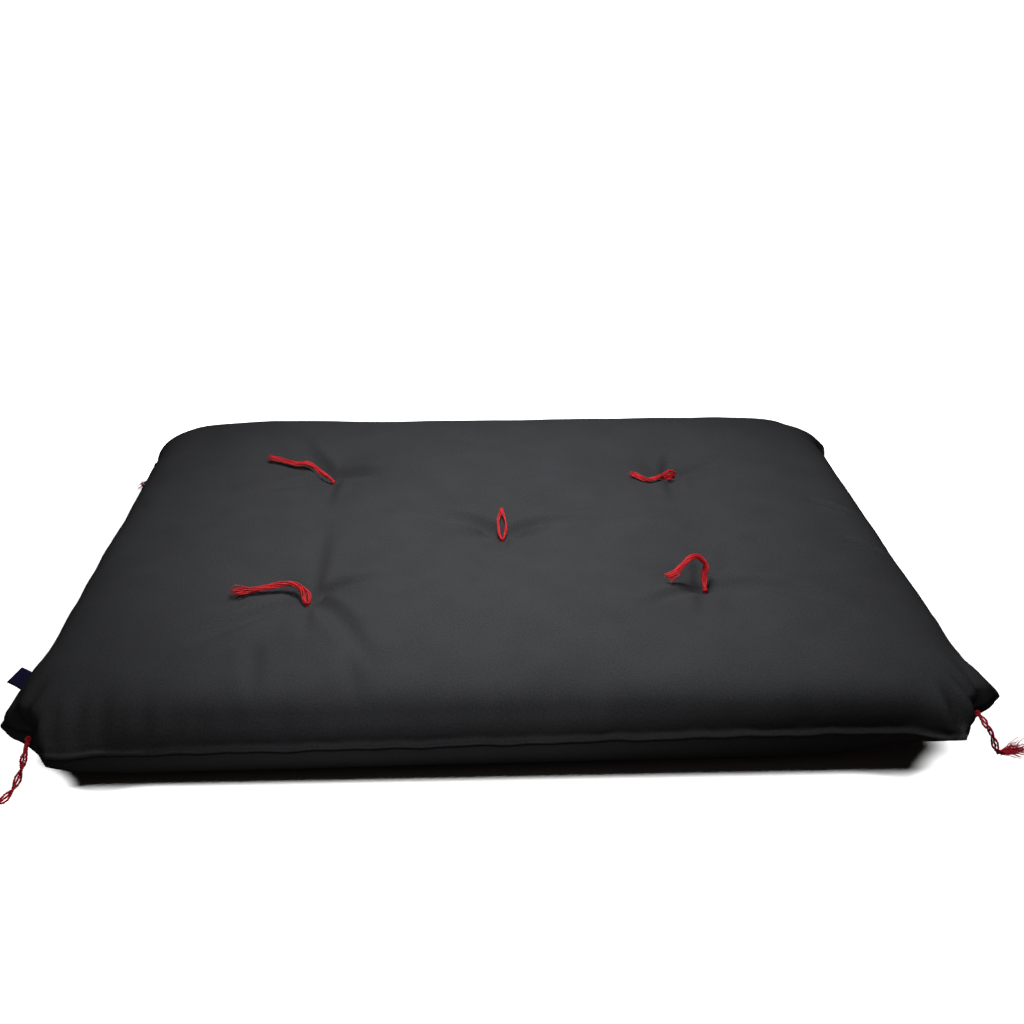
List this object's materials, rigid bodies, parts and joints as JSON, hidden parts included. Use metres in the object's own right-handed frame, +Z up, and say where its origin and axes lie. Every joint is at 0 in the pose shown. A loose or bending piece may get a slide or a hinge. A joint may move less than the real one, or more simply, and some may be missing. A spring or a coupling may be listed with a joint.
{
  "type": "meditation mat",
  "caption": "Flat rectangular filled cotton mat with a side seam, tufted crown, pushed-in corners, red thread tufts and braided corner tassels.",
  "frame": {"origin": "middle of the flat underside, on the floor that the mat rests on", "axes": "+X along the long sides towards the right as seen from the front, +Y towards the back, +Z up"},
  "size_m": [0.9845, 0.8256, 0.1014],
  "materials": {
    "cotton": "matt black cotton twill, faintly brushed, with dust-grey sheen",
    "tuft_thread": "bright red twisted cotton thread",
    "tassel_thread": "darker red twisted cotton thread",
    "label_tape": "navy woven tape, bare"
  },
  "bodies": {
    "root": {"mat_body": "cotton", "tuft_front_left": "tuft_thread", "tuft_front_right": "tuft_thread", "tuft_centre": "tuft_thread", "tuft_back_left": "tuft_thread", "tuft_back_right": "tuft_thread", "tassel_front_left": "tassel_thread", "tassel_front_right": "tassel_thread", "tassel_back_left": "tassel_thread", "tassel_back_right": "tassel_thread", "side_label": "label_tape"}
  },
  "joints": []
}
